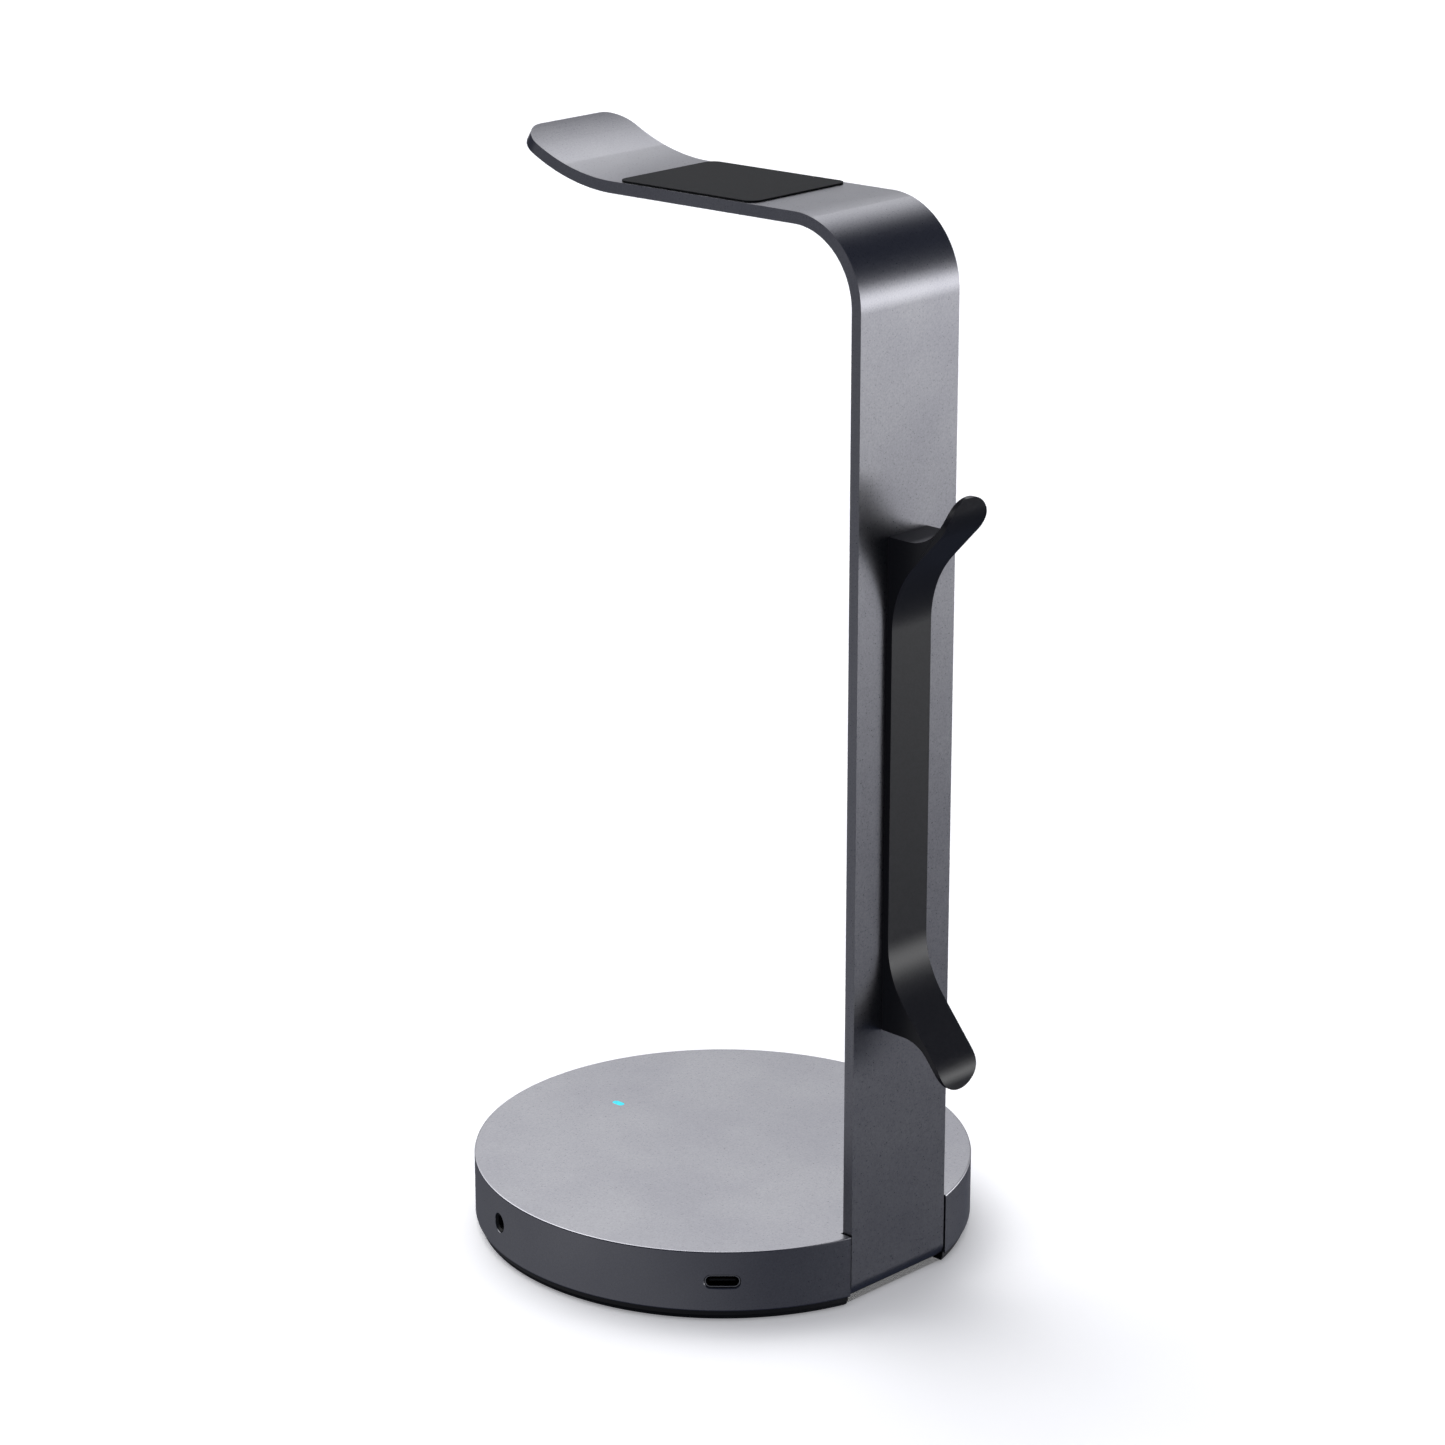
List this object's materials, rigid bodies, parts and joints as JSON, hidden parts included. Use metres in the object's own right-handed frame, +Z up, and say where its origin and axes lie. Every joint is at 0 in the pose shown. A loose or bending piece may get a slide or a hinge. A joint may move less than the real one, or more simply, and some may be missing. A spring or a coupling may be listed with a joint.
{
  "type": "headphone stand",
  "caption": "Round weighted base with USB-C and headphone ports, a bent metal strap with a padded arm, and a cable hook on its back.",
  "frame": {"origin": "centre of the round base, on the surface the stand rests on", "axes": "+Z up, +Y towards the strap and the cable hook, -Y the way the arm points, +X the side with the ports"},
  "size_m": [0.13, 0.1472, 0.2835],
  "materials": {
    "anodised_aluminium": "bead blasted and anodised grey",
    "coated_steel": "black electrocoat",
    "silicone_rubber": "matte",
    "adhesive_film": "clear film",
    "screw_steel": "black zinc",
    "ballast_steel": "plain",
    "circuit_board": "solder mask",
    "insulation_film": "smooth film",
    "stainless_steel": "bright",
    "black_plastic": "moulded",
    "gold_contacts": "gold plated",
    "led_package": "moulded",
    "light_pipe": "clear, lit cyan",
    "chip_epoxy": "moulded epoxy",
    "ceramic": "fired ceramic",
    "can_aluminium": "bright can",
    "ferrite": "ferrite",
    "pad_silicone": "matte silicone",
    "hook_black": "satin black",
    "brass_inserts": "knurled"
  },
  "bodies": {
    "root": {"base_housing": "anodised_aluminium", "strap": "anodised_aluminium", "bottom_plate": "coated_steel", "rubber_foot": "silicone_rubber", "foot_adhesive": "adhesive_film", "pad_adhesive": "adhesive_film", "bottom_plate_screws": "screw_steel", "strap_foot_screws": "screw_steel", "ballast_screws": "screw_steel", "board_screws": "screw_steel", "hook_screws": "screw_steel", "ballast_weight": "ballast_steel", "main_board": "circuit_board", "insulation_film": "insulation_film", "usb_c_shell": "stainless_steel", "usb_c_insulator": "black_plastic", "usb_c_contacts": "gold_contacts", "jack_body": "black_plastic", "jack_terminals": "gold_contacts", "led_chip": "led_package", "light_pipe": "light_pipe", "audio_codec": "chip_epoxy", "usb_bridge_chip": "chip_epoxy", "headphone_amplifier": "chip_epoxy", "voltage_regulator": "chip_epoxy", "crystal": "stainless_steel", "ceramic_capacitors": "ceramic", "resistors": "chip_epoxy", "output_capacitors": "can_aluminium", "inductor": "ferrite", "cradle_pad": "pad_silicone", "cable_hook": "hook_black", "hook_inserts": "brass_inserts"}
  },
  "joints": []
}
